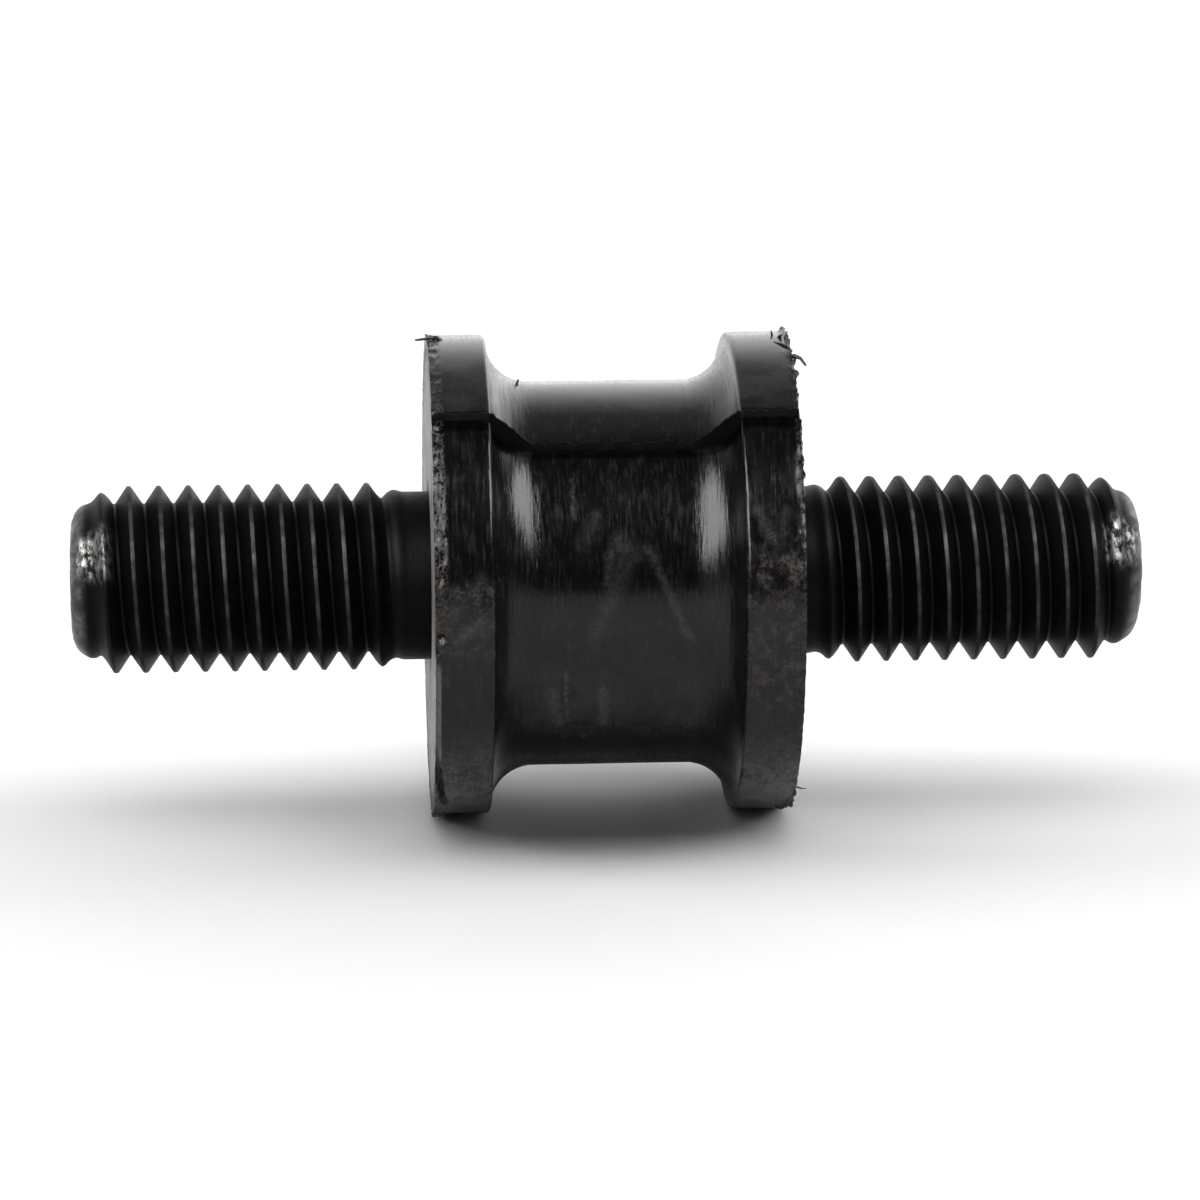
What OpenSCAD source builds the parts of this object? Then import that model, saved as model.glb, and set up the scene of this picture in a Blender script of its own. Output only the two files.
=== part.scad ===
// Waisted rubber mount with a threaded stud bonded into each end.
// The studs lie along X, Z is up, and the origin is the middle of the rubber body on the stud axis.

/* [Rubber body] */
// Length of the body between the outer faces of its two ends
body_len = 15; // [12:0.5:30]
// Diameter of the two rims
rim_d = 20.2; // [18:0.2:30]
// Width of each rim along the axis
rim_w = 2.4; // [2:0.1:3.5]
// Diameter of the straight waist
waist_d = 16.2; // [14:0.2:19]
// Radius of the hollow neck between the waist and each rim
neck_r = 1.9; // [0.5:0.1:2.5]
// Rounding of each rim's inner edge
rim_edge_r = 0.15; // [0.05:0.05:0.4]

/* [Parting ridge] */
// Height of the ridge that the mould leaves along the body
ridge_h = 0.25; // [0.1:0.05:0.6]
// Thickness of that ridge
ridge_t = 0.25; // [0.1:0.05:0.6]
// Angle of the ridge above the horizon, on the front of the body
ridge_tilt = 54; // [30:1:80]

/* [End plates] */
// Thickness of each steel plate
plate_t = 1.5; // [0.8:0.1:1.9]
// Thickness of the rubber lip around each plate
lip_t = 0.5; // [0.3:0.1:1.5]
// How far the countersink in each plate reaches past the thread's outer edge
countersink_margin = 0.1; // [0.05:0.05:0.5]

/* [Studs] */
// Length of each stud beyond the end of the body
stud_len = 15; // [10:0.5:40]
// Diameter of the plain shank, pressed through the plate
shank_d = 7.1; // [6.6:0.1:7.6]
// Length of plain shank that shows between the plate and the thread
shank_len = 1.4; // [0.6:0.1:3]
// Diameter of the flat head behind the plate
head_d = 12; // [9:0.5:13]
// Thickness of that head
head_t = 1.6; // [1:0.1:2.5]

/* [Thread] */
// Outer diameter of the threaded length, an M8 size as rolled
thread_d = 7.9; // [7.7:0.05:8]
// Length over which the shank widens into the thread
runout_len = 0.7; // [0.4:0.1:1.5]
// Diameter of the flat at the tip of the stud
tip_d = 5.2; // [4:0.1:6.2]
// Length of the taper behind the tip
tip_len = 2; // [1:0.1:3]

/* [Hidden] */
$fn = 96;

end_x = body_len / 2;
rim_r = rim_d / 2;
waist_r = waist_d / 2;
neck_fillet = min(neck_r, rim_r - waist_r);
plate_d = rim_d - 2 * lip_t;
countersink_r = thread_d / 2 + countersink_margin;
// Extra length that lets a cut pass through a face
cut = 0.5;

// Turns a shape built along Z to one end of the body: side 1 is the right end, -1 the left.
// Z = 0 of the shape comes to lie on the end's outer face, with +Z pointing away from the body.
module at_end(side) {
    translate([side * end_x, 0, 0])
        rotate([0, side * 90, 0])
            children();
}

// The groove around the body in section, straight at the waist and hollowed out towards each rim.
// x is the radius and y lies along the axis. grow makes the groove smaller all round.
module groove_section(grow) {
    floor_r = waist_r + grow;
    neck_y = end_x - rim_w - grow - neck_fillet;
    translate([floor_r, -neck_y])
        square([rim_r, 2 * neck_y]);
    translate([floor_r + neck_fillet, -neck_y - neck_fillet])
        square([rim_r, 2 * (neck_y + neck_fillet)]);
    for (side = [-1, 1])
        translate([floor_r + neck_fillet, side * neck_y])
            circle(neck_fillet);
}

// The sliver that rounds off the inner edge of the rim at the top of a section.
module rim_edge_cut(grow) {
    translate([rim_r + grow - rim_edge_r, end_x - rim_w - grow])
        difference() {
            translate([0, -cut])
                square([rim_edge_r + cut, rim_edge_r + cut]);
            translate([0, rim_edge_r])
                circle(rim_edge_r);
        }
}

// Half of the body in section, grown by the height of the ridge where that is wanted.
module body_section(grow = 0) {
    difference() {
        translate([0, -end_x])
            square([rim_r + grow, body_len]);
        groove_section(grow);
        for (flip = [0, 1])
            mirror([0, flip])
                rim_edge_cut(grow);
    }
}

// The ridge lies in one plane through the axis, so it shows on the front and again at the back.
module parting_ridge() {
    rotate([90 - ridge_tilt, 0, 0])
        rotate([0, 90, 0])
            rotate([90, 0, 0])
                linear_extrude(ridge_t, center = true)
                    for (flip = [0, 1])
                        mirror([flip, 0])
                            body_section(ridge_h);
}

// The space that a plate and the head behind it take up in the rubber.
module insert_space() {
    translate([0, 0, -plate_t])
        cylinder(d = plate_d, h = plate_t + cut);
    stud_head();
}

module stud_head() {
    translate([0, 0, -plate_t - head_t])
        cylinder(d = head_d, h = head_t);
}

module rubber_body() {
    color([0.05, 0.05, 0.05])
        difference() {
            union() {
                rotate([0, 90, 0])
                    rotate_extrude()
                        body_section();
                parting_ridge();
            }
            for (side = [-1, 1])
                at_end(side)
                    insert_space();
        }
}

module end_plate() {
    countersink_h = countersink_r - shank_d / 2;
    color([0.45, 0.45, 0.46])
        difference() {
            translate([0, 0, -plate_t])
                cylinder(d = plate_d, h = plate_t);
            translate([0, 0, -plate_t - cut])
                cylinder(d = shank_d, h = plate_t + 2 * cut);
            translate([0, 0, -countersink_h])
                cylinder(r1 = shank_d / 2, r2 = countersink_r + cut, h = countersink_h + cut);
        }
}

// The stud in section, from its head behind the plate to its tapered tip. x is the radius.
module stud_section() {
    polygon([
        [0, -plate_t],
        [shank_d / 2, -plate_t],
        [shank_d / 2, shank_len],
        [thread_d / 2, shank_len + runout_len],
        [thread_d / 2, stud_len - tip_len],
        [tip_d / 2, stud_len],
        [0, stud_len]
    ]);
}

module stud() {
    color([0.16, 0.15, 0.14]) {
        stud_head();
        rotate_extrude()
            stud_section();
    }
}

module end_plate_left() { at_end(-1) end_plate(); }
module end_plate_right() { at_end(1) end_plate(); }
module stud_left() { at_end(-1) stud(); }
module stud_right() { at_end(1) stud(); }

rubber_body();
end_plate_left();
end_plate_right();
stud_left();
stud_right();
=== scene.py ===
import math

import bmesh
import bpy
from mathutils import Matrix, Vector, noise


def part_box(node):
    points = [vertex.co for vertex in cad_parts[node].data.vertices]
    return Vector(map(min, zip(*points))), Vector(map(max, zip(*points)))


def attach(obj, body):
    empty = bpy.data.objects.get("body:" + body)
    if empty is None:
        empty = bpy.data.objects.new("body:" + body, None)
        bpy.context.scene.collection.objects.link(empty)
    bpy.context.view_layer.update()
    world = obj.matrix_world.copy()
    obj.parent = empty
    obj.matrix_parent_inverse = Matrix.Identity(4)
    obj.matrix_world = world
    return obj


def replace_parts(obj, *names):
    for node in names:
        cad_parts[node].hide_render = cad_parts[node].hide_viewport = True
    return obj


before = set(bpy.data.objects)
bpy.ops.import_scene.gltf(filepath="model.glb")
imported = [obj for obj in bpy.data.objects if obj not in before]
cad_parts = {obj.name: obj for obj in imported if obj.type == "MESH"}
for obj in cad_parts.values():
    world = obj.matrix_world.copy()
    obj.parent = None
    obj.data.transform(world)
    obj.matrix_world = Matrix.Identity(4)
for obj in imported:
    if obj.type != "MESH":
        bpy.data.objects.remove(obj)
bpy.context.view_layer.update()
mm = 0.001  # meshes are shaped in millimetres and finished in metres
xAxis = (1, 0, 0)

# sizes that the solids give
bodyLow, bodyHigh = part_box("rubber_body")
plateLow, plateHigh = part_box("end_plate_right")
studLow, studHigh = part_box("stud_right")
endX = bodyHigh.x / mm  # outer face of each rim
rimRadius = bodyHigh.z / mm
plateRadius = plateHigh.z / mm
plateX = plateLow.x / mm  # inner face of the right plate
headRadius = studHigh.z / mm
headX = studLow.x / mm  # inner face of the right stud's head
tipX = studHigh.x / mm
print("frame loaded, body", round(2 * endX, 2), "mm long, rims", round(2 * rimRadius, 2), "mm across")


# camera

cameraView = {
    "distance": 205.0,  # from the aimed point, mm
    "azimuth": -3.57,  # degrees, towards the left stud
    "elevation": 14.0,
    "lens": 145.1,
    "sensor": 36.0,
    "aimRight": -0.254,  # aimed point from the middle of the body, in the picture's plane, mm
    "aimUp": -1.165,
    "nearest": 0.01,  # m, start of the range that the camera shows
}


def makeCamera(setup):
    azimuth = math.radians(setup["azimuth"])
    elevation = math.radians(setup["elevation"])
    level = math.cos(elevation)
    toCamera = Vector((math.sin(azimuth) * level, -math.cos(azimuth) * level, math.sin(elevation)))
    right = Vector((math.cos(azimuth), math.sin(azimuth), 0))
    up = toCamera.cross(right)
    aim = right * setup["aimRight"] + up * setup["aimUp"]
    lens = bpy.data.cameras.new("photoCamera")
    lens.lens = setup["lens"]
    lens.sensor_width = setup["sensor"]
    lens.clip_start = setup["nearest"]
    camera = bpy.data.objects.new("photoCamera", lens)
    camera.location = (aim + toCamera * setup["distance"]) * mm
    camera.rotation_euler = toCamera.to_track_quat("Z", "Y").to_euler()
    bpy.context.scene.collection.objects.link(camera)
    bpy.context.scene.camera = camera


makeCamera(cameraView)
print("camera set")


# helpers for meshes

def smoothStep(value):
    value = min(max(value, 0.0), 1.0)
    return value * value * (3 - 2 * value)


def radiusOf(point):
    return math.hypot(point.y, point.z)


def riseOf(point):  # angle round the body in degrees: 0 at the front, 90 on top
    return math.degrees(math.atan2(point.z, -point.y))


def setRadius(point, radius):
    stretch = radius / max(radiusOf(point), 1e-9)
    point.y *= stretch
    point.z *= stretch


def chain(bm, points):  # a line of edges in the plane above the axis, from (along, radius) pairs
    verts = [bm.verts.new((along, 0, radius)) for along, radius in points]
    return [bm.edges.new(pair) for pair in zip(verts, verts[1:])]


def arcPoints(centre, radius, start, end, steps):  # degrees from the axis towards the radius
    angles = [math.radians(start + (end - start) * i / steps) for i in range(steps + 1)]
    return [(centre[0] + radius * math.cos(a), centre[1] + radius * math.sin(a)) for a in angles]


def finishPiece(bm, name, material, sharpAngle=35):
    bmesh.ops.scale(bm, vec=(mm, mm, mm), verts=bm.verts)
    mesh = bpy.data.meshes.new(name)
    bm.to_mesh(mesh)
    bm.free()
    mesh.shade_smooth()
    mesh.set_sharp_from_angle(angle=math.radians(sharpAngle))
    mesh.materials.append(material)
    piece = bpy.data.objects.new(name, mesh)
    bpy.context.scene.collection.objects.link(piece)
    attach(piece, "root")
    print("made", name, "with", len(mesh.polygons), "faces")
    return piece


# helpers for materials

def addNode(tree, kind, inputs=None, **settings):
    made = tree.nodes.new(kind)
    for key, value in settings.items():
        setattr(made, key, value)
    for key, value in (inputs or {}).items():
        if isinstance(value, bpy.types.NodeSocket):
            tree.links.new(value, made.inputs[key])
        else:
            made.inputs[key].default_value = value
    return made


def calc(tree, operation, first, second=0.0):
    return addNode(tree, "ShaderNodeMath", {0: first, 1: second}, operation=operation).outputs[0]


def ramp(tree, value, low, high, outLow=0.0, outHigh=1.0):
    inputs = {"Value": value, "From Min": low, "From Max": high, "To Min": outLow, "To Max": outHigh}
    return addNode(tree, "ShaderNodeMapRange", inputs, interpolation_type="SMOOTHSTEP").outputs[0]


def window(tree, value, middle, half, soft):  # 1 within half of the middle, fading to 0 over soft
    away = calc(tree, "ABSOLUTE", calc(tree, "SUBTRACT", value, middle))
    return ramp(tree, away, half, half + soft, 1.0, 0.0)


def grain(tree, vector, scale, detail=3.0, roughness=0.55):
    inputs = {"Vector": vector, "Scale": scale, "Detail": detail, "Roughness": roughness}
    return addNode(tree, "ShaderNodeTexNoise", inputs).outputs[0]


def blendColour(tree, factor, first, second):
    made = addNode(tree, "ShaderNodeMix", data_type="RGBA")
    for index, value in ((0, factor), (6, first), (7, second)):
        if isinstance(value, bpy.types.NodeSocket):
            tree.links.new(value, made.inputs[index])
        else:
            made.inputs[index].default_value = value
    return made.outputs[2]


def newMaterial(name, kind="ShaderNodeBsdfPrincipled"):
    material = bpy.data.materials.new(name)
    material.use_nodes = True
    tree = material.node_tree
    tree.nodes.clear()
    shader = addNode(tree, kind)
    output = addNode(tree, "ShaderNodeOutputMaterial")
    tree.links.new(shader.outputs[0], output.inputs[0])
    return material, tree, shader


def roundCoordinates(tree):  # place in mm, then along, radius and rise (degrees) round the axis
    place = addNode(tree, "ShaderNodeTexCoord").outputs["Object"]
    place = addNode(tree, "ShaderNodeVectorMath", {0: place, "Scale": 1 / mm}, operation="SCALE").outputs[0]
    parts = addNode(tree, "ShaderNodeSeparateXYZ", {0: place}).outputs
    across = addNode(tree, "ShaderNodeCombineXYZ", {1: parts[1], 2: parts[2]}).outputs[0]
    radius = addNode(tree, "ShaderNodeVectorMath", {0: across}, operation="LENGTH").outputs["Value"]
    rise = calc(tree, "ARCTAN2", parts[2], calc(tree, "MULTIPLY", parts[1], -1.0))
    rise = calc(tree, "MULTIPLY", rise, math.degrees(1))
    return place, parts[0], radius, rise


def vectorOf(tree, x, y, z):
    return addNode(tree, "ShaderNodeCombineXYZ", {0: x, 1: y, 2: z}).outputs[0]


# moulded black rubber

rubberLook = {
    "black": (0.0040, 0.0039, 0.0038, 1),
    "worn": (0.0090, 0.0084, 0.0080, 1),
    # dust, also used for painted floor light under the rims and on the lower waist
    "dustAndFloorLight": (0.130, 0.127, 0.123, 1),
    "dirt": (0.052, 0.042, 0.036, 1),
    "grime": (0.022, 0.016, 0.013, 1),  # on torn edges
    # painted shade: near-black that stands for the shade along the parting line
    "paintedShadeBlack": (0.0012, 0.0012, 0.0012, 1),  # along the parting line
    "shine": 0.26,  # specular level
    "flashShine": 0.08,
    "gloss": 0.14,  # roughness of the clean skin
    "matt": 0.50,  # roughness of scuffs
    "underMatt": 0.35,  # roughness added on the underside
    "frontMatt": 0.20,  # roughness added on the handled front of the waist
    "neckMatt": 0.05,  # roughness added in the necks
    "striaeDepth": 0.000020,  # depths of the bumps, m
    "grainDepth": 0.000003,
    "lumpDepth": 0.000010,
    # noises: scale, detail and roughness
    "striae": (9.0, 3.0),
    "mottle": (0.8, 6.0, 0.62),
    "cloud": (1.5, 6.0, 0.66),
    "speckle": (7.0, 5.0, 0.7),
    "fine": (26.0, 3.0),
    # bands round the body: middle, half width and soft edge, degrees of rise
    "leftPatch": (3.0, 7.0, 3.5),
    "rightPatch": (-1.0, 15.0, 8.0),
    "rightDust": (22.0, 4.0, 5.0),
    "topFilm": (90.0, 34.0, 3.0),
    # dust with painted floor bounce on the underside of the rims
    "lowDustAndBounce": (-70.0, 14.0, 36.0),
    # painted floor reflection on the lower front of the waist
    "bellyReflection": (-30.0, 6.0, 13.0),
    "underside": (-90.0, 24.0, 16.0),
    "front": (-16.0, 18.0, 8.0),
    # bands of painted shade round the parting line
    "seamShadeBands": [(-1.2, 2.2, 1.2), (-180.0, 1.3, 0.8)],  # the same, from the parting line
    # bands along the body: the same, in mm from its middle
    "neckBand": (4.2, 0.7, 0.3),
    "neckLines": (4.2, 0.9, 0.3),
    # where a mark starts and is full, mm from the middle
    "rims": (5.0, 5.2),
    "lumpyRims": (4.9, 5.3),
    "bellyReflectionEnds": (4.2, 3.2),
    "frontEnds": (4.4, 3.4),
    "tornLeft": (-6.92, -7.12),
    "tornOuter": (7.2, 7.4),
    "tornRise": (-6.0, 1.0),  # degrees
    "bevelSoft": (0.08, 4.0),  # soft edge of the worn bevel, mm and degrees
    "turnScale": 0.1414,  # mm round the waist for each degree
    "wander": 0.5,  # how far the smears stray, mm
    "wanderNoise": {"Scale": 2.2, "Detail": 4.0},
    "smearFade": 2.6,  # half widths over which a smear fades
    "smears": [  # dusty marks on waist and rims: along and rise at both ends, half width, strength
        (-1.77, 41, -1.77, 29, 0.06, 0.34),
        (-0.83, 30, -1.40, 22, 0.22, 0.16),
        (-0.26, 20, -0.42, 10, 0.12, 0.30),
        (-0.21, 9, -0.58, 1, 0.20, 0.24),
        (0.07, 22, 0.64, 19, 0.28, 0.26),
        (1.21, 21, 2.93, -6, 0.13, 0.30),
        (0.60, 20, -0.90, -4, 0.24, 0.20),
        (0.30, 21, -0.35, 6, 0.14, 0.22),
        (-2.13, -16, -2.01, -35, 0.06, 0.46),
        (-2.70, -23, -2.38, -36, 0.20, 0.34),
        (-0.58, -23, -0.54, -36, 0.18, 0.40),
        (-6.66, -2, -5.72, 2, 0.10, 0.50),
        (-6.95, 4, -5.60, 12, 0.16, 0.30),
        (5.60, 27, 6.30, 20, 0.18, 0.26),
        (6.70, 27, 6.20, 16, 0.14, 0.22),
    ],
}


def smearMask(tree, unrolled, smear, look):  # strength along a short line on the unrolled skin, else 0
    fromAlong, fromRise, toAlong, toRise, half, strength = smear
    start = Vector((fromAlong, fromRise * look["turnScale"], 0))
    run = Vector((toAlong, toRise * look["turnScale"], 0)) - start
    perLength = run / run.length_squared
    vectorMath = "ShaderNodeVectorMath"
    offset = addNode(tree, vectorMath, {0: unrolled, 1: start}, operation="SUBTRACT").outputs[0]
    share = addNode(tree, vectorMath, {0: offset, 1: perLength}, operation="DOT_PRODUCT").outputs["Value"]
    share = calc(tree, "MINIMUM", calc(tree, "MAXIMUM", share, 0.0), 1.0)
    nearest = addNode(tree, vectorMath, {0: run, "Scale": share}, operation="SCALE").outputs[0]
    away = addNode(tree, vectorMath, {0: offset, 1: nearest}, operation="DISTANCE").outputs["Value"]
    return ramp(tree, away, 0.0, half * look["smearFade"], strength, 0.0)


def makeRubber(look, body):
    material, tree, shader = newMaterial("mouldedRubber")
    place, along, radius, rise = roundCoordinates(tree)
    outward = calc(tree, "ABSOLUTE", along)
    # tool marks run round the body, so they are long in the turn and short along the section
    turned = vectorOf(tree, along, radius, calc(tree, "MULTIPLY", rise, 0.02))
    striae = grain(tree, turned, *look["striae"])
    mottle = grain(tree, place, *look["mottle"])
    cloud = grain(tree, place, *look["cloud"])
    speckle = grain(tree, place, *look["speckle"])
    fine = grain(tree, place, *look["fine"])
    # dirty patches on both rims, level with the studs
    rimFrom, rimFull = look["rims"]
    onLeft = ramp(tree, along, -rimFrom, -rimFull)
    onRight = ramp(tree, along, rimFrom, rimFull)
    onRim = calc(tree, "ADD", onLeft, onRight)
    patch = calc(tree, "ADD", calc(tree, "MULTIPLY", onLeft, window(tree, rise, *look["leftPatch"])),
                 calc(tree, "MULTIPLY", onRight, window(tree, rise, *look["rightPatch"])))
    patch = calc(tree, "MULTIPLY", patch, ramp(tree, cloud, 0.40, 0.66))
    patch = calc(tree, "MULTIPLY", patch, ramp(tree, speckle, 0.36, 0.62, 0.15, 1.0))
    # torn and dirty outer edge of the rims, widest on the left
    torn = calc(tree, "MULTIPLY", ramp(tree, along, *look["tornLeft"]), ramp(tree, rise, *look["tornRise"]))
    outer = calc(tree, "MULTIPLY", ramp(tree, outward, *look["tornOuter"]), 0.5)
    torn = calc(tree, "MAXIMUM", torn, outer)
    torn = calc(tree, "MULTIPLY", torn, ramp(tree, speckle, 0.44, 0.58))
    dirt = calc(tree, "MAXIMUM", patch, torn)
    # dust, and painted floor light in the dust colour: smears, clouds on the right rim, a film on both rims
    # with painted floor bounce under them, and a faint haze with a painted floor reflection on the lower
    # waist
    unrolled = vectorOf(tree, along, calc(tree, "MULTIPLY", rise, look["turnScale"]), 0.0)
    wander = addNode(tree, "ShaderNodeTexNoise", {"Vector": place, **look["wanderNoise"]}).outputs["Color"]
    stray = (look["wander"],) * 3
    halfStray = (look["wander"] / 2,) * 3
    unrolled = addNode(tree, "ShaderNodeVectorMath", {0: wander, 1: stray, 2: unrolled},
                       operation="MULTIPLY_ADD").outputs[0]
    unrolled = addNode(tree, "ShaderNodeVectorMath", {0: unrolled, 1: halfStray},
                       operation="SUBTRACT").outputs[0]
    dustAndFloorLight = calc(tree, "MULTIPLY", calc(tree, "MULTIPLY", onRight, window(tree, rise, *look["rightDust"])),
                ramp(tree, cloud, 0.50, 0.66, 0.0, 0.3))
    for smear in look["smears"]:
        dustAndFloorLight = calc(tree, "MAXIMUM", dustAndFloorLight, smearMask(tree, unrolled, smear, look))
    dustAndFloorLight = calc(tree, "MULTIPLY", dustAndFloorLight, ramp(tree, speckle, 0.30, 0.70, 0.25, 1.2))
    filmAndBounce = calc(tree, "MULTIPLY", calc(tree, "MULTIPLY", onRim, window(tree, rise, *look["topFilm"])),
                ramp(tree, mottle, 0.3, 0.7, 0.07, 0.22))
    # dust with painted bounce light from the floor on the underside of the rims
    low = calc(tree, "MULTIPLY", calc(tree, "MULTIPLY", onRim, window(tree, rise, *look["lowDustAndBounce"])),
               ramp(tree, calc(tree, "ADD", cloud, speckle), 0.74, 1.26, 0.15, 0.95))
    filmAndBounce = calc(tree, "MAXIMUM", filmAndBounce, low)
    top, bottom, width = body["bevel"][:3]
    softAlong, softRise = look["bevelSoft"]
    bevelX = width - endX
    bevel = calc(tree, "MULTIPLY", ramp(tree, along, bevelX, bevelX - softAlong),
                 window(tree, rise, (top + bottom) / 2, (top - bottom) / 2 - softRise, softRise))
    bevel = calc(tree, "MULTIPLY", bevel, ramp(tree, speckle, 0.35, 0.6, 0.3, 1.0))
    filmAndBounce = calc(tree, "MAXIMUM", filmAndBounce, bevel)
    hazeAndReflection = ramp(tree, calc(tree, "MULTIPLY", calc(tree, "ADD", cloud, striae), 0.5), 0.48, 0.72, 0.0, 0.13)
    # painted reflection of the floor on the lower front of the waist, as a dusty haze
    bellyReflection = calc(tree, "MULTIPLY", window(tree, rise, *look["bellyReflection"]),
                 ramp(tree, outward, *look["bellyReflectionEnds"]))
    hazeAndReflection = calc(tree, "ADD", hazeAndReflection, calc(tree, "MULTIPLY", bellyReflection, ramp(tree, mottle, 0.3, 0.7, 0.04, 0.11)))
    dustAndFloorLight = calc(tree, "MAXIMUM", calc(tree, "MAXIMUM", dustAndFloorLight, filmAndBounce), hazeAndReflection)
    # painted shade: a black line along the parting line, front and back, and a little below it, where the
    # flash shades the skin
    frontSeamShade, backSeamShade = [window(tree, rise, body["partingRise"] + turn, half, soft)
                           for turn, half, soft in look["seamShadeBands"]]
    seamShade = calc(tree, "MAXIMUM", frontSeamShade, backSeamShade)
    colour = blendColour(tree, ramp(tree, mottle, 0.35, 0.7), look["black"], look["worn"])
    colour = blendColour(tree, dustAndFloorLight, colour, look["dustAndFloorLight"])
    colour = blendColour(tree, patch, colour, look["dirt"])
    edgeDirt = blendColour(tree, ramp(tree, cloud, 0.40, 0.62), look["grime"], look["dirt"])
    colour = blendColour(tree, torn, colour, edgeDirt)
    colour = blendColour(tree, seamShade, colour, look["paintedShadeBlack"])
    tree.links.new(colour, shader.inputs["Base Color"])
    shader.inputs["Specular IOR Level"].default_value = look["shine"]
    scuffed = calc(tree, "MAXIMUM", dustAndFloorLight, dirt)
    rough = ramp(tree, striae, 0.25, 0.75, look["gloss"] - 0.04, look["gloss"] + 0.06)
    rough = calc(tree, "ADD", rough, calc(tree, "MULTIPLY", scuffed, look["matt"] - look["gloss"]))
    under = calc(tree, "MULTIPLY", window(tree, rise, *look["underside"]), look["underMatt"])
    necks = calc(tree, "MULTIPLY", window(tree, outward, *look["neckBand"]), look["neckMatt"])
    rough = calc(tree, "ADD", rough, calc(tree, "MAXIMUM", under, necks))
    front = calc(tree, "MULTIPLY", window(tree, rise, *look["front"]),
                 ramp(tree, outward, *look["frontEnds"]))
    rough = calc(tree, "ADD", rough, calc(tree, "MULTIPLY", front, look["frontMatt"]))
    tree.links.new(rough, shader.inputs["Roughness"])
    # bumps: tool marks in the necks, then lumps, then a fine grain
    ringed = calc(tree, "MULTIPLY", striae, window(tree, outward, *look["neckLines"]))
    lines = addNode(tree, "ShaderNodeBump", {"Height": ringed, "Distance": look["striaeDepth"]})
    uneven = calc(tree, "MULTIPLY", cloud, ramp(tree, outward, *look["lumpyRims"], 0.7, 1.0))
    lumps = addNode(tree, "ShaderNodeBump", {
        "Height": uneven,
        "Distance": look["lumpDepth"],
        "Normal": lines.outputs[0],
    })
    grains = addNode(tree, "ShaderNodeBump", {
        "Height": calc(tree, "ADD", fine, calc(tree, "MULTIPLY", scuffed, speckle)),
        "Distance": look["grainDepth"],
        "Strength": 0.5,
        "Normal": lumps.outputs[0],
    })
    tree.links.new(grains.outputs[0], shader.inputs["Normal"])
    return material


def makeFinBlack(look):  # dull black of the thin flash along the parting line, blended towards the painted shade black so the fin reads as shaded
    material, tree, shader = newMaterial("flashRubber")
    place = roundCoordinates(tree)[0]
    colour = blendColour(tree, grain(tree, place, 3.0, 4.0), look["paintedShadeBlack"], look["black"])
    tree.links.new(colour, shader.inputs["Base Color"])
    tree.links.new(ramp(tree, grain(tree, place, 8.0), 0.3, 0.7, 0.5, 0.7), shader.inputs["Roughness"])
    shader.inputs["Specular IOR Level"].default_value = look["flashShine"]
    return material


# black phosphated steel of the studs, worn bright on the crests and tips, the wear kept to the rises where
# highlights fall (partly painted highlight)

studLook = {
    "black": (0.0018, 0.0017, 0.0016, 1),
    "brown": (0.0050, 0.0038, 0.0030, 1),
    "bareAndGlint": (0.20, 0.195, 0.19, 1),
    "shine": 0.06,
    "blackRough": 0.42,
    "bareRough": 0.36,
    "bumpDepth": 0.000008,  # m
    # noises: scale, detail and roughness
    "rolled": (7.0, 4.0),
    "patches": (1.3, 5.0, 0.6),
    "specks": (5.5, 4.0, 0.7),
    "scraped": (4.0, 5.0, 0.7),
    # worn sides, kept to the rises where the highlights fall (partly painted highlight): middle, half width
    # and soft edge, degrees of rise
    "crestWearGlintBand": (28.0, 14.0, 70.0),
    "tipWearGlintBand": (32.0, 10.0, 14.0),
    # where bare steel starts and is full, mm
    "crestFade": (0.045, 0.006),  # below the crest
    "tipBand": (0.8, 0.3),  # from the tip
    "scuffBand": (2.0, 1.2),
    "tipFlat": (1.9, 2.5),  # from the axis
    "scuffInner": (2.1, 2.6),
}


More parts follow.
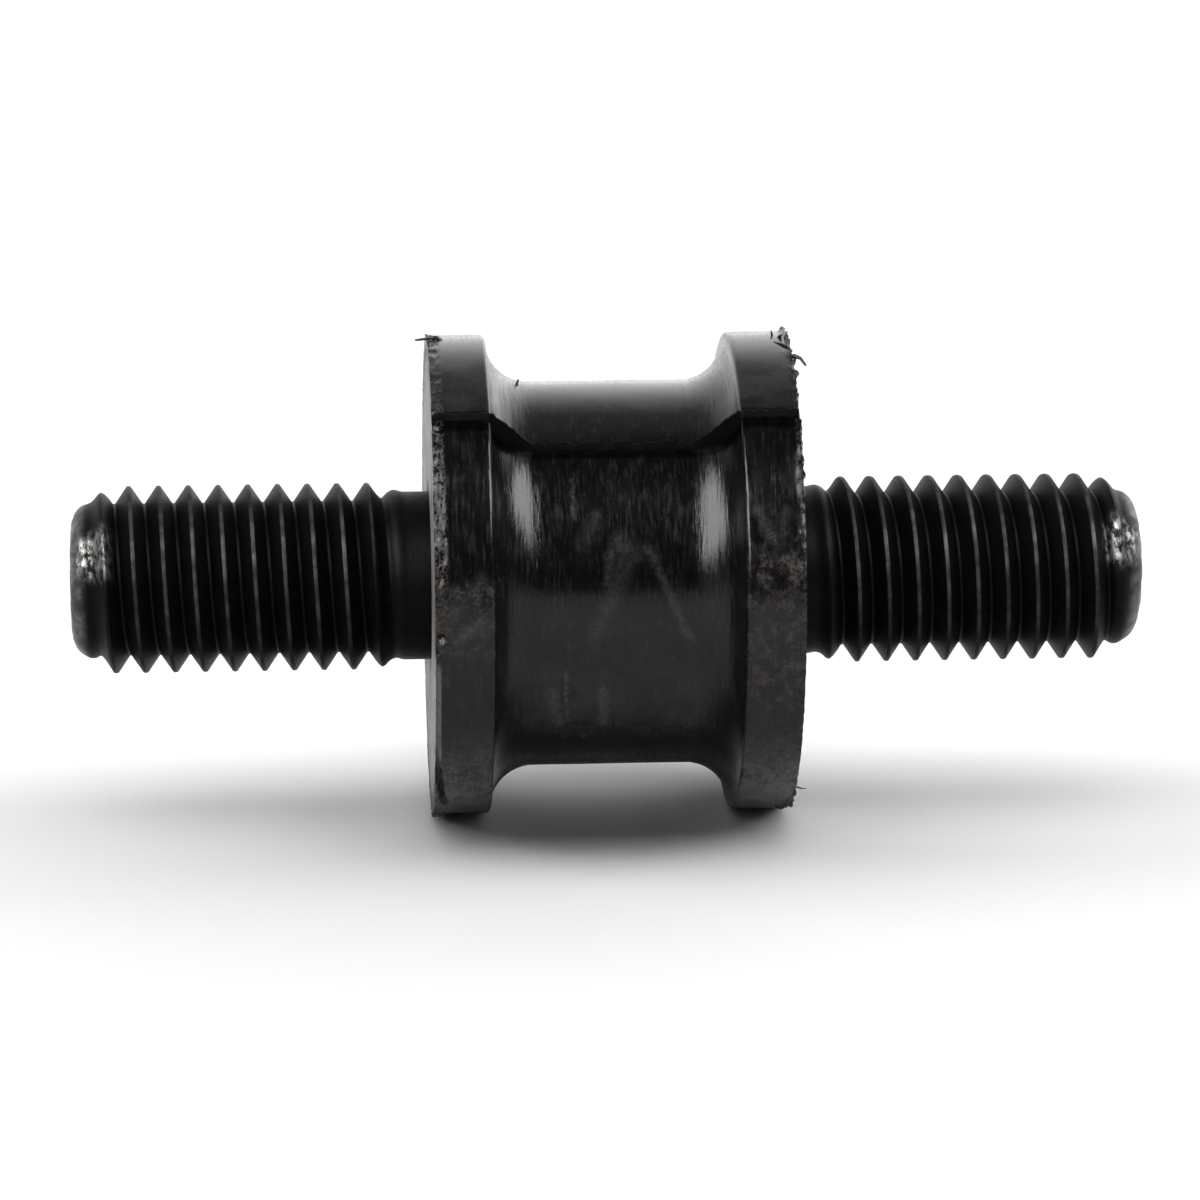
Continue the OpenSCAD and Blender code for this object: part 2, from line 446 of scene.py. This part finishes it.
def makeStudSteel(look, thread):
    material, tree, shader = newMaterial("phosphatedSteel")
    place, along, radius, rise = roundCoordinates(tree)
    outward = calc(tree, "ABSOLUTE", along)
    turned = vectorOf(tree, along, radius, calc(tree, "MULTIPLY", rise, 0.03))
    rolled = grain(tree, turned, *look["rolled"])
    patches = grain(tree, place, *look["patches"])
    specks = grain(tree, place, *look["specks"])
    crestWearAndGlint = ramp(tree, radius, *[thread["crestRadius"] - depth for depth in look["crestFade"]])
    crestWearAndGlint = calc(tree, "MULTIPLY", crestWearAndGlint, ramp(tree, patches, 0.34, 0.66, 0.12, 0.36))
    # wear kept to the rises where the highlights fall: partly painted highlight
    crestWearAndGlint = calc(tree, "MULTIPLY", crestWearAndGlint, window(tree, rise, *look["crestWearGlintBand"]))
    fromTip = calc(tree, "SUBTRACT", tipX, outward)
    tip = ramp(tree, fromTip, *look["tipBand"])
    tip = calc(tree, "MULTIPLY", tip, ramp(tree, patches, 0.36, 0.66, 0.24, 0.72))
    tip = calc(tree, "MULTIPLY", tip, ramp(tree, radius, *look["tipFlat"], 0.6, 1.0))
    scraped = grain(tree, turned, *look["scraped"])
    scuffAndGlint = calc(tree, "MULTIPLY", ramp(tree, fromTip, *look["scuffBand"]), ramp(tree, scraped, 0.40, 0.62))
    # scuffs kept to the rises where the tip's highlights fall: partly painted highlight
    scuffAndGlint = calc(tree, "MULTIPLY", scuffAndGlint, window(tree, rise, *look["tipWearGlintBand"]))
    scuffAndGlint = calc(tree, "MULTIPLY", scuffAndGlint, ramp(tree, radius, *look["scuffInner"]))  # not on the flat end
    bareAndGlint = calc(tree, "MAXIMUM", crestWearAndGlint, calc(tree, "MAXIMUM", tip, scuffAndGlint))
    colour = blendColour(tree, ramp(tree, patches, 0.4, 0.7), look["black"], look["brown"])
    colour = blendColour(tree, bareAndGlint, colour, look["bareAndGlint"])
    tree.links.new(colour, shader.inputs["Base Color"])
    tree.links.new(bareAndGlint, shader.inputs["Metallic"])
    shader.inputs["Specular IOR Level"].default_value = look["shine"]
    rough = ramp(tree, bareAndGlint, 0.0, 1.0, look["blackRough"], look["bareRough"])
    rough = calc(tree, "ADD", rough, calc(tree, "MULTIPLY", rolled, 0.1))
    tree.links.new(rough, shader.inputs["Roughness"])
    bump = addNode(tree, "ShaderNodeBump", {
        "Height": calc(tree, "ADD", rolled, calc(tree, "MULTIPLY", specks, 0.6)),
        "Distance": look["bumpDepth"],
    })
    tree.links.new(bump.outputs[0], shader.inputs["Normal"])
    return material


# dull bonded steel of the end plates, stained by the rubber round its edge

plateLook = {
    "steel": (0.26, 0.255, 0.25, 1),
    "grey": (0.145, 0.141, 0.138, 1),
    "rust": (0.10, 0.058, 0.035, 1),
    "rubber": (0.013, 0.0125, 0.012, 1),
    "clouds": (0.6, 6.0, 0.65),  # noises: scale, detail and roughness
    "specks": (4.0, 5.0, 0.7),
    "edgeWander": 2.2,  # how far the stain's edge strays, mm
    "stain": (0.45, 1.0),  # where it starts and is full, from the plate's edge and before it strays
    "rustShare": 0.6,
    "metal": 0.9,
    "matt": (0.48, 0.70),  # least and greatest roughness
    "bumpDepth": 0.000020,  # m
}


def makePlateSteel(look):
    material, tree, shader = newMaterial("bondedSteel")
    place, _, radius, _ = roundCoordinates(tree)
    clouds = grain(tree, place, *look["clouds"])
    specks = grain(tree, place, *look["specks"])
    edge = calc(tree, "ADD", radius, calc(tree, "MULTIPLY", clouds, look["edgeWander"]))
    stain = ramp(tree, edge, *[plateRadius + past for past in look["stain"]])
    rust = ramp(tree, specks, 0.60, 0.72)
    colour = blendColour(tree, ramp(tree, clouds, 0.35, 0.65), look["grey"], look["steel"])
    colour = blendColour(tree, calc(tree, "MULTIPLY", rust, look["rustShare"]), colour, look["rust"])
    colour = blendColour(tree, stain, colour, look["rubber"])
    tree.links.new(colour, shader.inputs["Base Color"])
    covered = calc(tree, "MAXIMUM", stain, rust)
    tree.links.new(ramp(tree, covered, 0.0, 1.0, look["metal"], 0.0), shader.inputs["Metallic"])
    tree.links.new(ramp(tree, specks, 0.3, 0.7, *look["matt"]), shader.inputs["Roughness"])
    bump = addNode(tree, "ShaderNodeBump", {
        "Height": calc(tree, "ADD", specks, stain),
        "Distance": look["bumpDepth"],
    })
    tree.links.new(bump.outputs[0], shader.inputs["Normal"])
    return material


# rubber body

rubberPiece = {
    "waistRadius": 8.1,
    "rimWidth": 2.4,
    "neckRadius": 1.9,
    "neckCrease": 6.0,  # angle at which the neck leaves the waist, degrees
    "neckSteps": 16,
    "edgeRadius": 0.15,  # rim's inner edge
    "edgeSteps": 4,
    "rowGap": 0.16,
    "edgeBand": 0.6,  # outer stretch of the rim with finer rows
    "edgeGap": 0.08,
    "columns": 400,  # round the body
    "partingRise": 53.0,
    "finHeight": 0.42,
    "finPinch": 0.2,  # thickness of the fin's top edge, as a share of its foot
    "finOnRim": 0.6,  # shares of the fin's height
    "finOnWaist": 0.9,
    "mouldStep": 0.05,  # upper half of the mould stands out by this much
    "waviness": 0.014,
    "striae": 0.010,  # tool marks in the necks
    "raggedness": 0.07,  # of the rims' outer edges
    "raggedBand": 0.35,
    "tornBand": 0.5,  # width of the rough band along the left rim's outer edge
    "tornSoft": 0.2,  # its soft inner edge
    "tornRise": (-5, 8),  # where it starts, and over how many degrees it grows
    "tornDepth": 0.07,
    "plainBelow": (-70, 20),  # the skin is left plain below this, where the rims rest on the floor
    "crack": [  # split along the left rim's outer edge: along, rise, depth
        (-7.46, -8, 0.05),
        (-7.44, -30, 0.12),
        (-7.40, -38, 0.30),
        (-7.30, -46, 0.50),
        (-7.18, -53, 0.50),
        (-6.92, -59, 0.14),
    ],
    "crackHalf": 0.14,
    "bevel": (-6, -56, 0.24, 0.8),  # worn edge of the left rim: from and to (rise), width, slope
    "bevelEnds": (3, 8),  # degrees over which it starts and ends
    "notches": [  # pits where the torn band ends: along, rise, half width, depth
        (-7.28, -1, 0.20, 0.22),
        (-7.44, -4, 0.16, 0.16),
        (-7.05, -2, 0.12, 0.10),
    ],
}


def outwardAt(point, piece):  # direction that the skin faces, in the plane through the axis
    neckX = endX - piece["rimWidth"] - piece["neckRadius"]
    radial = Vector((0, point.y, point.z)).normalized()
    across = abs(point.x) - neckX
    if across <= 0 or abs(point.x) > endX - piece["rimWidth"]:
        return radial
    lean = math.asin(min(across / piece["neckRadius"], 1.0))
    return radial * math.cos(lean) - Vector((math.copysign(math.sin(lean), point.x), 0, 0))


def halfSection(bm, piece):
    waist = piece["waistRadius"]
    rimX = endX - piece["rimWidth"]
    neckX = rimX - piece["neckRadius"]
    neckCentre = (neckX, waist + piece["neckRadius"])
    neck = arcPoints(neckCentre, piece["neckRadius"], piece["neckCrease"] - 90, -2, piece["neckSteps"])
    edge = piece["edgeRadius"]
    corner = arcPoints((rimX + edge, rimRadius - edge), edge, 180, 90, piece["edgeSteps"])
    skin = [(0, neck[0][1])] + neck + corner
    skin += [(endX - piece["edgeBand"], rimRadius), (endX, rimRadius), (endX, plateRadius)]
    pocket = [(plateX, plateRadius), (plateX, headRadius), (headX, headRadius), (headX, 0)]
    for line in chain(bm, skin + pocket)[:len(skin) - 1]:
        fine = min(v.co.x for v in line.verts) >= endX - piece["edgeBand"] - 1e-6
        cuts = int(line.calc_length() / (piece["edgeGap"] if fine else piece["rowGap"]))
        if cuts:
            bmesh.ops.subdivide_edges(bm, edges=[line], cuts=cuts)


def isSkin(point):
    radius = radiusOf(point)
    slack = 0.01  # mm
    inPlate = abs(point.x) >= plateX - slack and radius <= plateRadius + slack
    inHead = abs(point.x) >= headX - slack and radius <= headRadius + slack
    return not (inPlate or inHead)


def crackAt(point, piece):  # depth of the split at a point of the rim
    best = 0.0
    for (x0, rise0, depth0), (x1, rise1, depth1) in zip(piece["crack"], piece["crack"][1:]):
        share = (riseOf(point) - rise0) / (rise1 - rise0)
        if 0 <= share <= 1:
            away = abs(point.x - x0 - (x1 - x0) * share) / piece["crackHalf"]
            best = max(best, (depth0 + (depth1 - depth0) * share) * max(1 - away * away, 0))
    for along, rise, half, depth in piece["notches"]:
        away = math.hypot(point.x - along, math.radians(riseOf(point) - rise) * rimRadius) / half
        best = max(best, depth * max(1 - away * away, 0))
    return best


def bevelAt(point, piece):  # depth of the worn edge along the left rim
    top, bottom, width, slope = piece["bevel"]
    rise = riseOf(point)
    topEnd, bottomEnd = piece["bevelEnds"]
    share = smoothStep((top - rise) / topEnd) * smoothStep((rise - bottom) / bottomEnd)
    return share * slope * max(-point.x - endX + width, 0) * (1 + 0.8 * noise.noise(point * 2.1))


def shapeSkin(bm, piece):  # mould halves that don't quite meet, uneven skin and ragged outer edges
    tilt = math.radians(piece["partingRise"])
    facing = Vector((0, math.sin(tilt), math.cos(tilt)))
    neckX = endX - piece["rimWidth"] - piece["neckRadius"]
    tornFrom, tornOver = piece["tornRise"]
    plainFrom, plainOver = piece["plainBelow"]
    for vert in bm.verts:
        point = vert.co
        if not isSkin(point):
            continue
        rise = riseOf(point)
        lift = piece["mouldStep"] * 0.5 * (1 if point.dot(facing) > 0 else -1)
        lift += piece["waviness"] * noise.noise(point * 0.45)
        if neckX < abs(point.x) < endX - piece["rimWidth"]:
            lift += piece["striae"] * noise.noise(Vector((point.x * 9, radiusOf(point) * 9, rise * 0.01)))
        edge = smoothStep((abs(point.x) - endX + piece["raggedBand"]) / piece["raggedBand"])
        lift += piece["raggedness"] * edge * (noise.noise(point * 2.3) + 0.6 * noise.noise(point * 6.1))
        band = smoothStep((-point.x - endX + piece["tornBand"]) / piece["tornSoft"])
        band *= smoothStep((rise - tornFrom) / tornOver)
        rough = noise.noise(point * 4.1) - 0.25 + 0.7 * noise.noise(point * 9.3)
        lift += piece["tornDepth"] * band * rough
        lift -= crackAt(point, piece) + bevelAt(point, piece)
        plain = smoothStep((plainFrom - math.degrees(math.atan2(point.z, abs(point.y)))) / plainOver)
        vert.co = point + outwardAt(point, piece) * lift * (1 - plain)
        vert.co.x += math.copysign(piece["raggedness"] * edge * 0.6 * noise.noise(point * 3.1), point.x)


def finRadius(point, piece, height):  # the flash bridges the hollow of each neck with a web
    across = (abs(point.x) - endX + piece["rimWidth"]) / piece["neckRadius"] + 1
    web = 0.0
    if 0 < across < 1.1:
        share = 0.6 * min(across, 1.0) + 0.4 * smoothStep(across)
        web = piece["waistRadius"] + (rimRadius - piece["waistRadius"]) * share + height * piece["finOnRim"]
    part = piece["finOnRim"] if across > 1 else piece["finOnWaist"]
    return max(radiusOf(point) + height * part, web)


def raiseFin(bm, piece):  # thin fin along the parting line of the mould, on the front and at the back
    step = 360 / piece["columns"]
    for turn in (0, 180):
        middle = piece["partingRise"] - turn
        strip = []
        for face in bm.faces:
            centre = face.calc_center_median()
            if abs(riseOf(centre) - middle) < step and isSkin(centre) and abs(centre.x) < endX - 0.005:
                strip.append(face)
        raised = bmesh.ops.extrude_face_region(bm, geom=strip)["geom"]
        bmesh.ops.delete(bm, geom=strip, context="FACES")  # the faces left under the new ones
        for vert in [g for g in raised if isinstance(g, bmesh.types.BMVert)]:
            along = Vector((vert.co.x * 1.6, turn, 0))
            torn = 0.75 + 0.65 * noise.noise(along) + 0.55 * noise.noise(along * 3.7)
            turnBack = math.radians(middle - riseOf(vert.co)) * (1 - piece["finPinch"])
            setRadius(vert.co, finRadius(vert.co, piece, piece["finHeight"] * max(torn, 0.2)))
            vert.co = Matrix.Rotation(-turnBack, 3, "X") @ vert.co
            for face in vert.link_faces:
                face.material_index = 1


ripEdges = {
    "rows": 0.09,  # width of the strip at the rim's outer edge that the flash grows from
    "overhang": 0.2,  # how far that strip may reach past the end
    "depth": 0.12,  # and below the rim's surface
    "endOn": 0.8,  # faces turned more than this to the end are left out
    "gaps": -0.3,  # level of noise below which there is no flash
    "tears": [  # side, from and to (rise, degrees), length
        (-1, 84, 100, 0.10),
        (1, 30, 64, 0.14),
        (1, 64, 100, 0.21),
        (1, -66, -48, 0.12),
        (-1, -82, -60, 0.12),
        (1, 120, 150, 0.10),
    ],
}


def tearEdges(bm, rips):  # ragged flash along stretches of the rims' outer edges
    for side, low, high, length in rips["tears"]:
        strip = []
        for face in bm.faces:
            centre = face.calc_center_median()
            nearEdge = endX - rips["rows"] < side * centre.x < endX + rips["overhang"]
            if nearEdge and radiusOf(centre) > rimRadius - rips["depth"] and low < riseOf(centre) < high:
                if abs(face.normal.x) < rips["endOn"] and noise.noise(centre * 1.7) > rips["gaps"]:
                    strip.append(face)
        raised = bmesh.ops.extrude_face_region(bm, geom=strip)["geom"]
        bmesh.ops.delete(bm, geom=strip, context="FACES")  # the faces left under the new ones
        for vert in [g for g in raised if isinstance(g, bmesh.types.BMVert)]:
            point = vert.co.copy()
            reach = 0.5 + 1.1 * noise.noise(point * 1.9) + 0.9 * noise.noise(point * 4.7)
            lean = 0.5 + 0.8 * noise.noise(point * 2.9 + Vector((9, 0, 0)))
            push = Vector((side * lean, 0, 0)) + Vector((0, point.y, point.z)).normalized()
            vert.co = point + push.normalized() * length * max(reach, 0.1)


def makeRubberBody(piece, material, finMaterial):
    bm = bmesh.new()
    halfSection(bm, piece)
    bmesh.ops.spin(bm, geom=bm.verts[:] + bm.edges[:], axis=xAxis, cent=(0, 0, 0), angle=2 * math.pi,
                   steps=piece["columns"], use_merge=True)
    bmesh.ops.mirror(bm, geom=bm.verts[:] + bm.edges[:] + bm.faces[:], axis="X", merge_dist=1e-5)
    bmesh.ops.remove_doubles(bm, verts=bm.verts, dist=1e-4)
    bmesh.ops.recalc_face_normals(bm, faces=bm.faces)
    shapeSkin(bm, piece)
    raiseFin(bm, piece)
    tearEdges(bm, ripEdges)
    made = finishPiece(bm, "rubberBody", material)
    made.data.materials.append(finMaterial)
    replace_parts(made, "rubber_body")


# torn threads of flash

hairPiece = {
    "sides": 6,
    "thinning": 0.6,  # how much of its thickness a hair loses towards its end
    "sharpAngle": 80,
    "hairs": [  # half thickness, then the path: along, radius, and rise in degrees
        (0.110, [(-6.90, 10.05, 90), (-7.10, 10.20, 90), (-7.37, 10.20, 90), (-7.60, 10.12, 91),
                 (-7.98, 10.05, 92)]),
        (0.120, [(7.20, 10.00, 88), (7.27, 10.18, 88), (7.33, 10.27, 87)]),
        (0.060, [(6.98, 10.05, 90), (6.96, 10.22, 90), (6.93, 10.34, 90)]),
        (0.075, [(6.95, 10.08, 84), (7.25, 10.15, 81.5), (7.50, 10.15, 79), (7.62, 10.08, 78)]),
        (0.060, [(7.10, 10.08, 76.5), (7.40, 10.14, 75.7), (7.70, 10.10, 75)]),
        (0.120, [(7.40, 10.00, 75.5), (7.68, 10.10, 75), (7.90, 10.08, 74), (8.08, 9.96, 71.8)]),
        (0.075, [(7.68, 10.06, 75), (7.66, 9.98, 73.4), (7.62, 9.92, 72.4)]),
        (0.050, [(7.42, 10.02, -50), (7.60, 10.10, -50), (7.80, 10.08, -51), (7.95, 10.00, -52)]),
        (0.050, [(7.45, 10.05, -56), (7.25, 10.18, -60), (7.00, 10.20, -63), (6.85, 10.08, -66)]),
        (0.060, [(7.45, 10.05, -64), (7.20, 10.16, -68), (6.95, 10.10, -70)]),
        (0.060, [(-7.20, 10.00, -70), (-7.30, 10.18, -73), (-7.45, 10.22, -75), (-7.50, 10.08, -76)]),
        (0.050, [(-6.95, 10.00, -71), (-7.00, 10.16, -74), (-6.85, 10.16, -75)]),
        (0.085, [(-3.78, 8.12, 89), (-3.74, 8.28, 89), (-3.68, 8.38, 90)]),
    ],
}


def hairPoint(along, radius, rise):
    turn = math.radians(rise)
    return Vector((along, -radius * math.cos(turn), radius * math.sin(turn)))


def makeHairs(piece, material):  # torn threads of flash that stand out from the rims
    bm = bmesh.new()
    for thickness, path in piece["hairs"]:
        points = [hairPoint(*spot) for spot in path]
        ring = None
        for index, point in enumerate(points):
            before, after = points[max(index - 1, 0)], points[min(index + 1, len(points) - 1)]
            turn = (after - before).to_track_quat("Z", "Y").to_matrix().to_4x4()
            size = thickness * (1 - piece["thinning"] * index / (len(points) - 1))
            made = bmesh.ops.create_circle(bm, cap_ends=index in (0, len(points) - 1), radius=size,
                                           segments=piece["sides"], matrix=Matrix.Translation(point) @ turn)
            edges = list({edge for vert in made["verts"] for edge in vert.link_edges})
            if ring:
                bmesh.ops.bridge_loops(bm, edges=ring + edges)
            ring = edges
    bmesh.ops.recalc_face_normals(bm, faces=bm.faces)
    finishPiece(bm, "flashHairs", material, piece["sharpAngle"])


# studs

studPiece = {
    "pitch": 1.25,
    "crestRadius": 3.95,
    "rootRadius": 3.20,
    "crestLand": 0.16,
    "crestCrown": 0.02,  # how far the middle of the crest stands above its edges
    "rootLand": 0.10,
    "firstCrest": 2.55,  # first full crest on top, from the end of the body
    "shankRadius": 3.55,
    "shankLength": 0.9,
    "runout": 1.7,
    "tipRadius": 2.3,
    "tipRound": 0.7,  # length of the rounded end
    "leadFrom": 0.38,  # the thread grows to its full height over this stretch from the tip
    "leadLength": 1.4,
    "columns": 96,  # round the stud
    "flankCuts": 4,
    "tipRings": [(0.0, 0.93), (0.12, 0.75), (0.02, 0.5)],  # dished end: step in, and share of the last ring
    "dents": 0.012,
    "sharpAngle": 32,
}


def threadSection(bm, piece, start):
    pitch = piece["pitch"]
    flankFoot = piece["rootLand"] / 2
    flankTop = (pitch - piece["crestLand"]) / 2
    crestEdge = piece["crestRadius"] - piece["crestCrown"]
    half = [(0, piece["rootRadius"]), (flankFoot, piece["rootRadius"]), (flankTop, crestEdge)]
    middle = [(pitch / 2, piece["crestRadius"])]
    points = half + middle + [(pitch - along, radius) for along, radius in reversed(half)]
    edges = chain(bm, [(start + along, radius) for along, radius in points])
    flanks = [edges[1], edges[4]]
    bmesh.ops.subdivide_edges(bm, edges=flanks, cuts=piece["flankCuts"])


def shapeThread(bm, piece, side):  # thread grows out of the shank and runs down into the tip
    shank = piece["shankRadius"]
    for vert in bm.verts:
        point = vert.co
        fromBody = side * point.x - endX
        fromTip = tipX - side * point.x
        grown = smoothStep((fromBody - piece["shankLength"]) / piece["runout"])
        radius = radiusOf(point)
        high = smoothStep((radius - piece["rootRadius"]) / (piece["crestRadius"] - piece["rootRadius"]))
        dent = piece["dents"] * high * (noise.noise(point * 0.9) + 0.8 * noise.noise(point * 2.7))
        radius = shank + (radius + min(dent, 0) - shank) * grown
        root = piece["rootRadius"]
        radius = root + (radius - root) * smoothStep((fromTip - piece["leadFrom"]) / piece["leadLength"])
        left = 1 - max(fromTip, 0) / piece["tipRound"]
        if left > 0:
            radius = piece["tipRadius"] + (radius - piece["tipRadius"]) * math.sqrt(1 - left * left)
        setRadius(point, radius)


def edgeLoopAt(bm, along):
    return [e for e in bm.edges if e.is_boundary and all(abs(v.co.x - along) < 1e-3 for v in e.verts)]


def pushLoop(bm, edges, along, stretch):  # extrudes a loop along the stud and widens it
    made = bmesh.ops.extrude_edge_only(bm, edges=edges)["geom"]
    verts = [g for g in made if isinstance(g, bmesh.types.BMVert)]
    bmesh.ops.translate(bm, vec=(along, 0, 0), verts=verts)
    bmesh.ops.scale(bm, vec=(1, stretch, stretch), verts=verts)
    return [g for g in made if isinstance(g, bmesh.types.BMEdge)]


def makeStud(name, side, piece, material):
    bm = bmesh.new()
    pitch = piece["pitch"]
    low = min(side * endX, side * tipX)
    start = side * (endX + piece["firstCrest"]) - pitch / 2
    start -= pitch * math.ceil((start - low) / pitch + 1)
    turns = math.ceil((tipX - endX) / pitch) + 3
    threadSection(bm, piece, start)
    bmesh.ops.spin(bm, geom=bm.verts[:] + bm.edges[:], axis=xAxis, cent=(0, 0, 0), angle=2 * math.pi,
                   steps=piece["columns"], dvec=(pitch / piece["columns"], 0, 0))
    firstTurn = bm.verts[:] + bm.edges[:] + bm.faces[:]
    for turn in range(1, turns):
        copied = bmesh.ops.duplicate(bm, geom=firstTurn)["geom"]
        moved = [g for g in copied if isinstance(g, bmesh.types.BMVert)]
        bmesh.ops.translate(bm, vec=(pitch * turn, 0, 0), verts=moved)
    bmesh.ops.remove_doubles(bm, verts=bm.verts, dist=1e-3)
    shapeThread(bm, piece, side)
    shankEnd = side * (endX + piece["shankLength"])
    for cut, away in ((shankEnd, -side), (side * tipX, side)):
        bmesh.ops.bisect_plane(bm, geom=bm.verts[:] + bm.edges[:] + bm.faces[:], dist=1e-5,
                               plane_co=(cut, 0, 0), plane_no=(away, 0, 0), clear_outer=True)
    bmesh.ops.remove_doubles(bm, verts=bm.verts, dist=1e-3)
    loop = pushLoop(bm, edgeLoopAt(bm, shankEnd), side * plateX - shankEnd, 1)
    loop = pushLoop(bm, loop, 0, headRadius / piece["shankRadius"])
    loop = pushLoop(bm, loop, side * (headX - plateX), 1)
    bmesh.ops.edgeloop_fill(bm, edges=loop)
    loop = edgeLoopAt(bm, side * tipX)
    for inward, share in piece["tipRings"]:
        loop = pushLoop(bm, loop, -side * inward, share)
    bmesh.ops.edgeloop_fill(bm, edges=loop)
    bmesh.ops.recalc_face_normals(bm, faces=bm.faces)
    return finishPiece(bm, name, material, piece["sharpAngle"])


blackRubber = makeRubber(rubberLook, rubberPiece)
finBlack = makeFinBlack(rubberLook)
studSteel = makeStudSteel(studLook, studPiece)
plateSteel = makePlateSteel(plateLook)
makeRubberBody(rubberPiece, blackRubber, finBlack)
makeHairs(hairPiece, blackRubber)
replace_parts(makeStud("studLeft", -1, studPiece, studSteel), "stud_left")
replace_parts(makeStud("studRight", 1, studPiece, studSteel), "stud_right")
for nodeName in ("end_plate_left", "end_plate_right"):
    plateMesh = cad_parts[nodeName].data
    plateMesh.materials.clear()
    plateMesh.materials.append(plateSteel)
print("pieces and materials done")


# floor, lights and surroundings

stageSetup = {
    "floorSize": 6.0,  # m
    "floorColour": (0.94, 0.935, 0.93, 1),
    "floorSeen": (1, 1, 1, 1),  # what the camera and glossy surfaces see of it
    "lampDistance": 8.0,  # m, far off so that the floor is evenly lit
    "topLean": 3.0,  # degrees from straight above, towards the camera
    "topSize": (16.0, 4.9),
    "topPower": 385.0,
    "sideTurn": 97.0,  # degrees to each side of the camera
    "sideRise": 30.0,
    "sideSize": (4.0, 4.0),
    "sidePower": 235.0,
    "boxTurn": 51.0,
    "boxDistance": 5.85,  # m, along the floor to each upright softbox
    "boxHeight": {"Left": 6.2, "Right": 7.7},
    "boxSize": (8.2, 8.2),
    "boxPower": 2450.0,
    "backLight": 2.3,  # brightness low down behind the object
    "backLean": 1.45,  # how much brighter it is towards the right
    "backFrom": 0.10,  # share of the way to the back at which the bright part starts and is full
    "backFull": 0.55,
    "backLow": 0.45,  # height over which the bright part fades out
    "backHigh": 1.0,
    "backGlow": 0.45,  # higher up behind the object
    "glowFrom": 0.08,
    "glowFull": 0.32,
    "fill": 0.05,
    "frontGlow": 0.16,  # along the horizon in front
    "frontHigh": 0.30,
}


def makeFloor(setup):
    bm = bmesh.new()
    bmesh.ops.create_grid(bm, x_segments=1, y_segments=1, size=setup["floorSize"] / 2)
    bmesh.ops.translate(bm, vec=(0, 0, bodyLow.z), verts=bm.verts)
    mesh = bpy.data.meshes.new("floor")
    bm.to_mesh(mesh)
    bm.free()
    material, tree, shader = newMaterial("whiteFloor", "ShaderNodeBsdfDiffuse")
    rays = addNode(tree, "ShaderNodeLightPath").outputs
    seen = calc(tree, "MAXIMUM", rays["Is Camera Ray"], rays["Is Glossy Ray"])
    seen = calc(tree, "MAXIMUM", seen, rays["Is Transmission Ray"])
    colour = blendColour(tree, seen, setup["floorColour"], setup["floorSeen"])
    tree.links.new(colour, shader.inputs["Color"])
    mesh.materials.append(material)
    floor = bpy.data.objects.new("floor", mesh)
    bpy.context.scene.collection.objects.link(floor)


def makeLamp(name, place, facing, size, power):  # facing points from the object back to the lamp
    lamp = bpy.data.lights.new(name, "AREA")
    lamp.shape = "RECTANGLE"
    lamp.size, lamp.size_y = size
    lamp.energy = power
    made = bpy.data.objects.new(name, lamp)
    made.location = place
    made.rotation_euler = facing.to_track_quat("Z", "Y").to_euler()
    bpy.context.scene.collection.objects.link(made)
    return made


def makeLamps(setup):
    distance = setup["lampDistance"]
    lean = math.radians(setup["topLean"])
    above = Vector((0, -math.sin(lean), math.cos(lean)))
    top = makeLamp("topLamp", above * distance, above, setup["topSize"], setup["topPower"])
    top.visible_glossy = False  # lights the floor, and the softboxes make the highlights
    rise = math.radians(setup["sideRise"])
    for name, side in (("Left", -1), ("Right", 1)):
        turn = math.radians(side * setup["sideTurn"] + cameraView["azimuth"])
        toSide = Vector((math.sin(turn) * math.cos(rise), -math.cos(turn) * math.cos(rise), math.sin(rise)))
        lamp = makeLamp("sideLamp" + name, toSide * distance, toSide, setup["sideSize"], setup["sidePower"])
        lamp.visible_glossy = False
        turn = math.radians(side * setup["boxTurn"] - cameraView["azimuth"])  # mirrors the camera
        level = Vector((math.sin(turn), -math.cos(turn), 0))
        place = level * setup["boxDistance"] + Vector((0, 0, setup["boxHeight"][name]))
        box = makeLamp("softbox" + name, place, level, setup["boxSize"], setup["boxPower"])
        box.visible_diffuse = False


def makeSurroundings(setup):
    world = bpy.data.worlds.new("studio")
    world.use_nodes = True
    tree = world.node_tree
    tree.nodes.clear()
    towards = addNode(tree, "ShaderNodeTexCoord").outputs["Generated"]
    side, back, height = addNode(tree, "ShaderNodeSeparateXYZ", {0: towards}).outputs
    light = calc(tree, "ADD", calc(tree, "MULTIPLY", side, setup["backLean"]), setup["backLight"])
    light = calc(tree, "MULTIPLY", light, ramp(tree, back, setup["backFrom"], setup["backFull"]))
    light = calc(tree, "MULTIPLY", light, ramp(tree, height, setup["backHigh"], setup["backLow"]))
    glow = ramp(tree, back, setup["glowFrom"], setup["glowFull"], setup["fill"], setup["backGlow"])
    horizon = ramp(tree, height, setup["frontHigh"], 0.0, 0.0, setup["frontGlow"])
    light = calc(tree, "MAXIMUM", calc(tree, "MAXIMUM", light, glow), horizon)
    paint = addNode(tree, "ShaderNodeBackground", {"Strength": light})
    output = addNode(tree, "ShaderNodeOutputWorld")
    tree.links.new(paint.outputs[0], output.inputs[0])
    bpy.context.scene.world = world


makeFloor(stageSetup)
makeLamps(stageSetup)
makeSurroundings(stageSetup)
bpy.context.scene.view_settings.view_transform = "Standard"
print("stage set")
